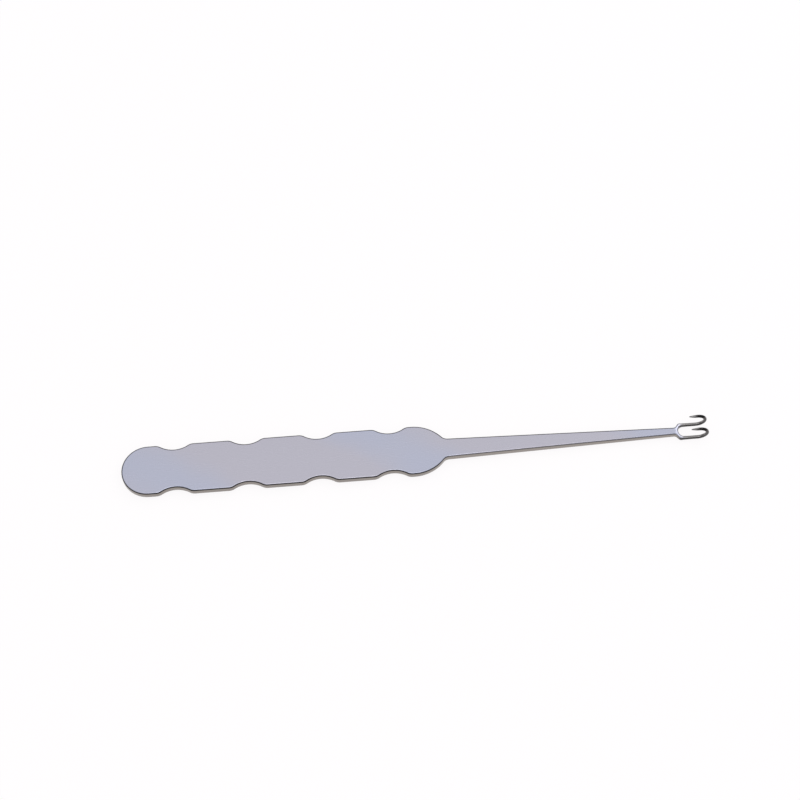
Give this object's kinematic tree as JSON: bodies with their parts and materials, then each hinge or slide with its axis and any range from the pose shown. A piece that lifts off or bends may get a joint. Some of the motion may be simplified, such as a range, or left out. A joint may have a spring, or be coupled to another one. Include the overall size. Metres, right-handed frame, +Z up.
{
  "type": "handheld surgical retractor",
  "caption": "Slim steel retractor: a flat finger-scalloped handle, a tapering shank and a forked end with sharp upturned hooks that hold back skin.",
  "frame": {"origin": "middle of the length and width, on the underside that the instrument rests on", "axes": "+X along the shank to the hooks, +Y to the left hook seen from the butt, +Z up out of the handle's upper face, the way the hooks turn"},
  "size_m": [0.16, 0.0144, 0.0061],
  "materials": {
    "satin_steel": "satin-ground stainless steel, fine grain along the length, brighter on the broken edges"
  },
  "bodies": {
    "root": {"hook_retractor": "satin_steel"}
  },
  "joints": []
}
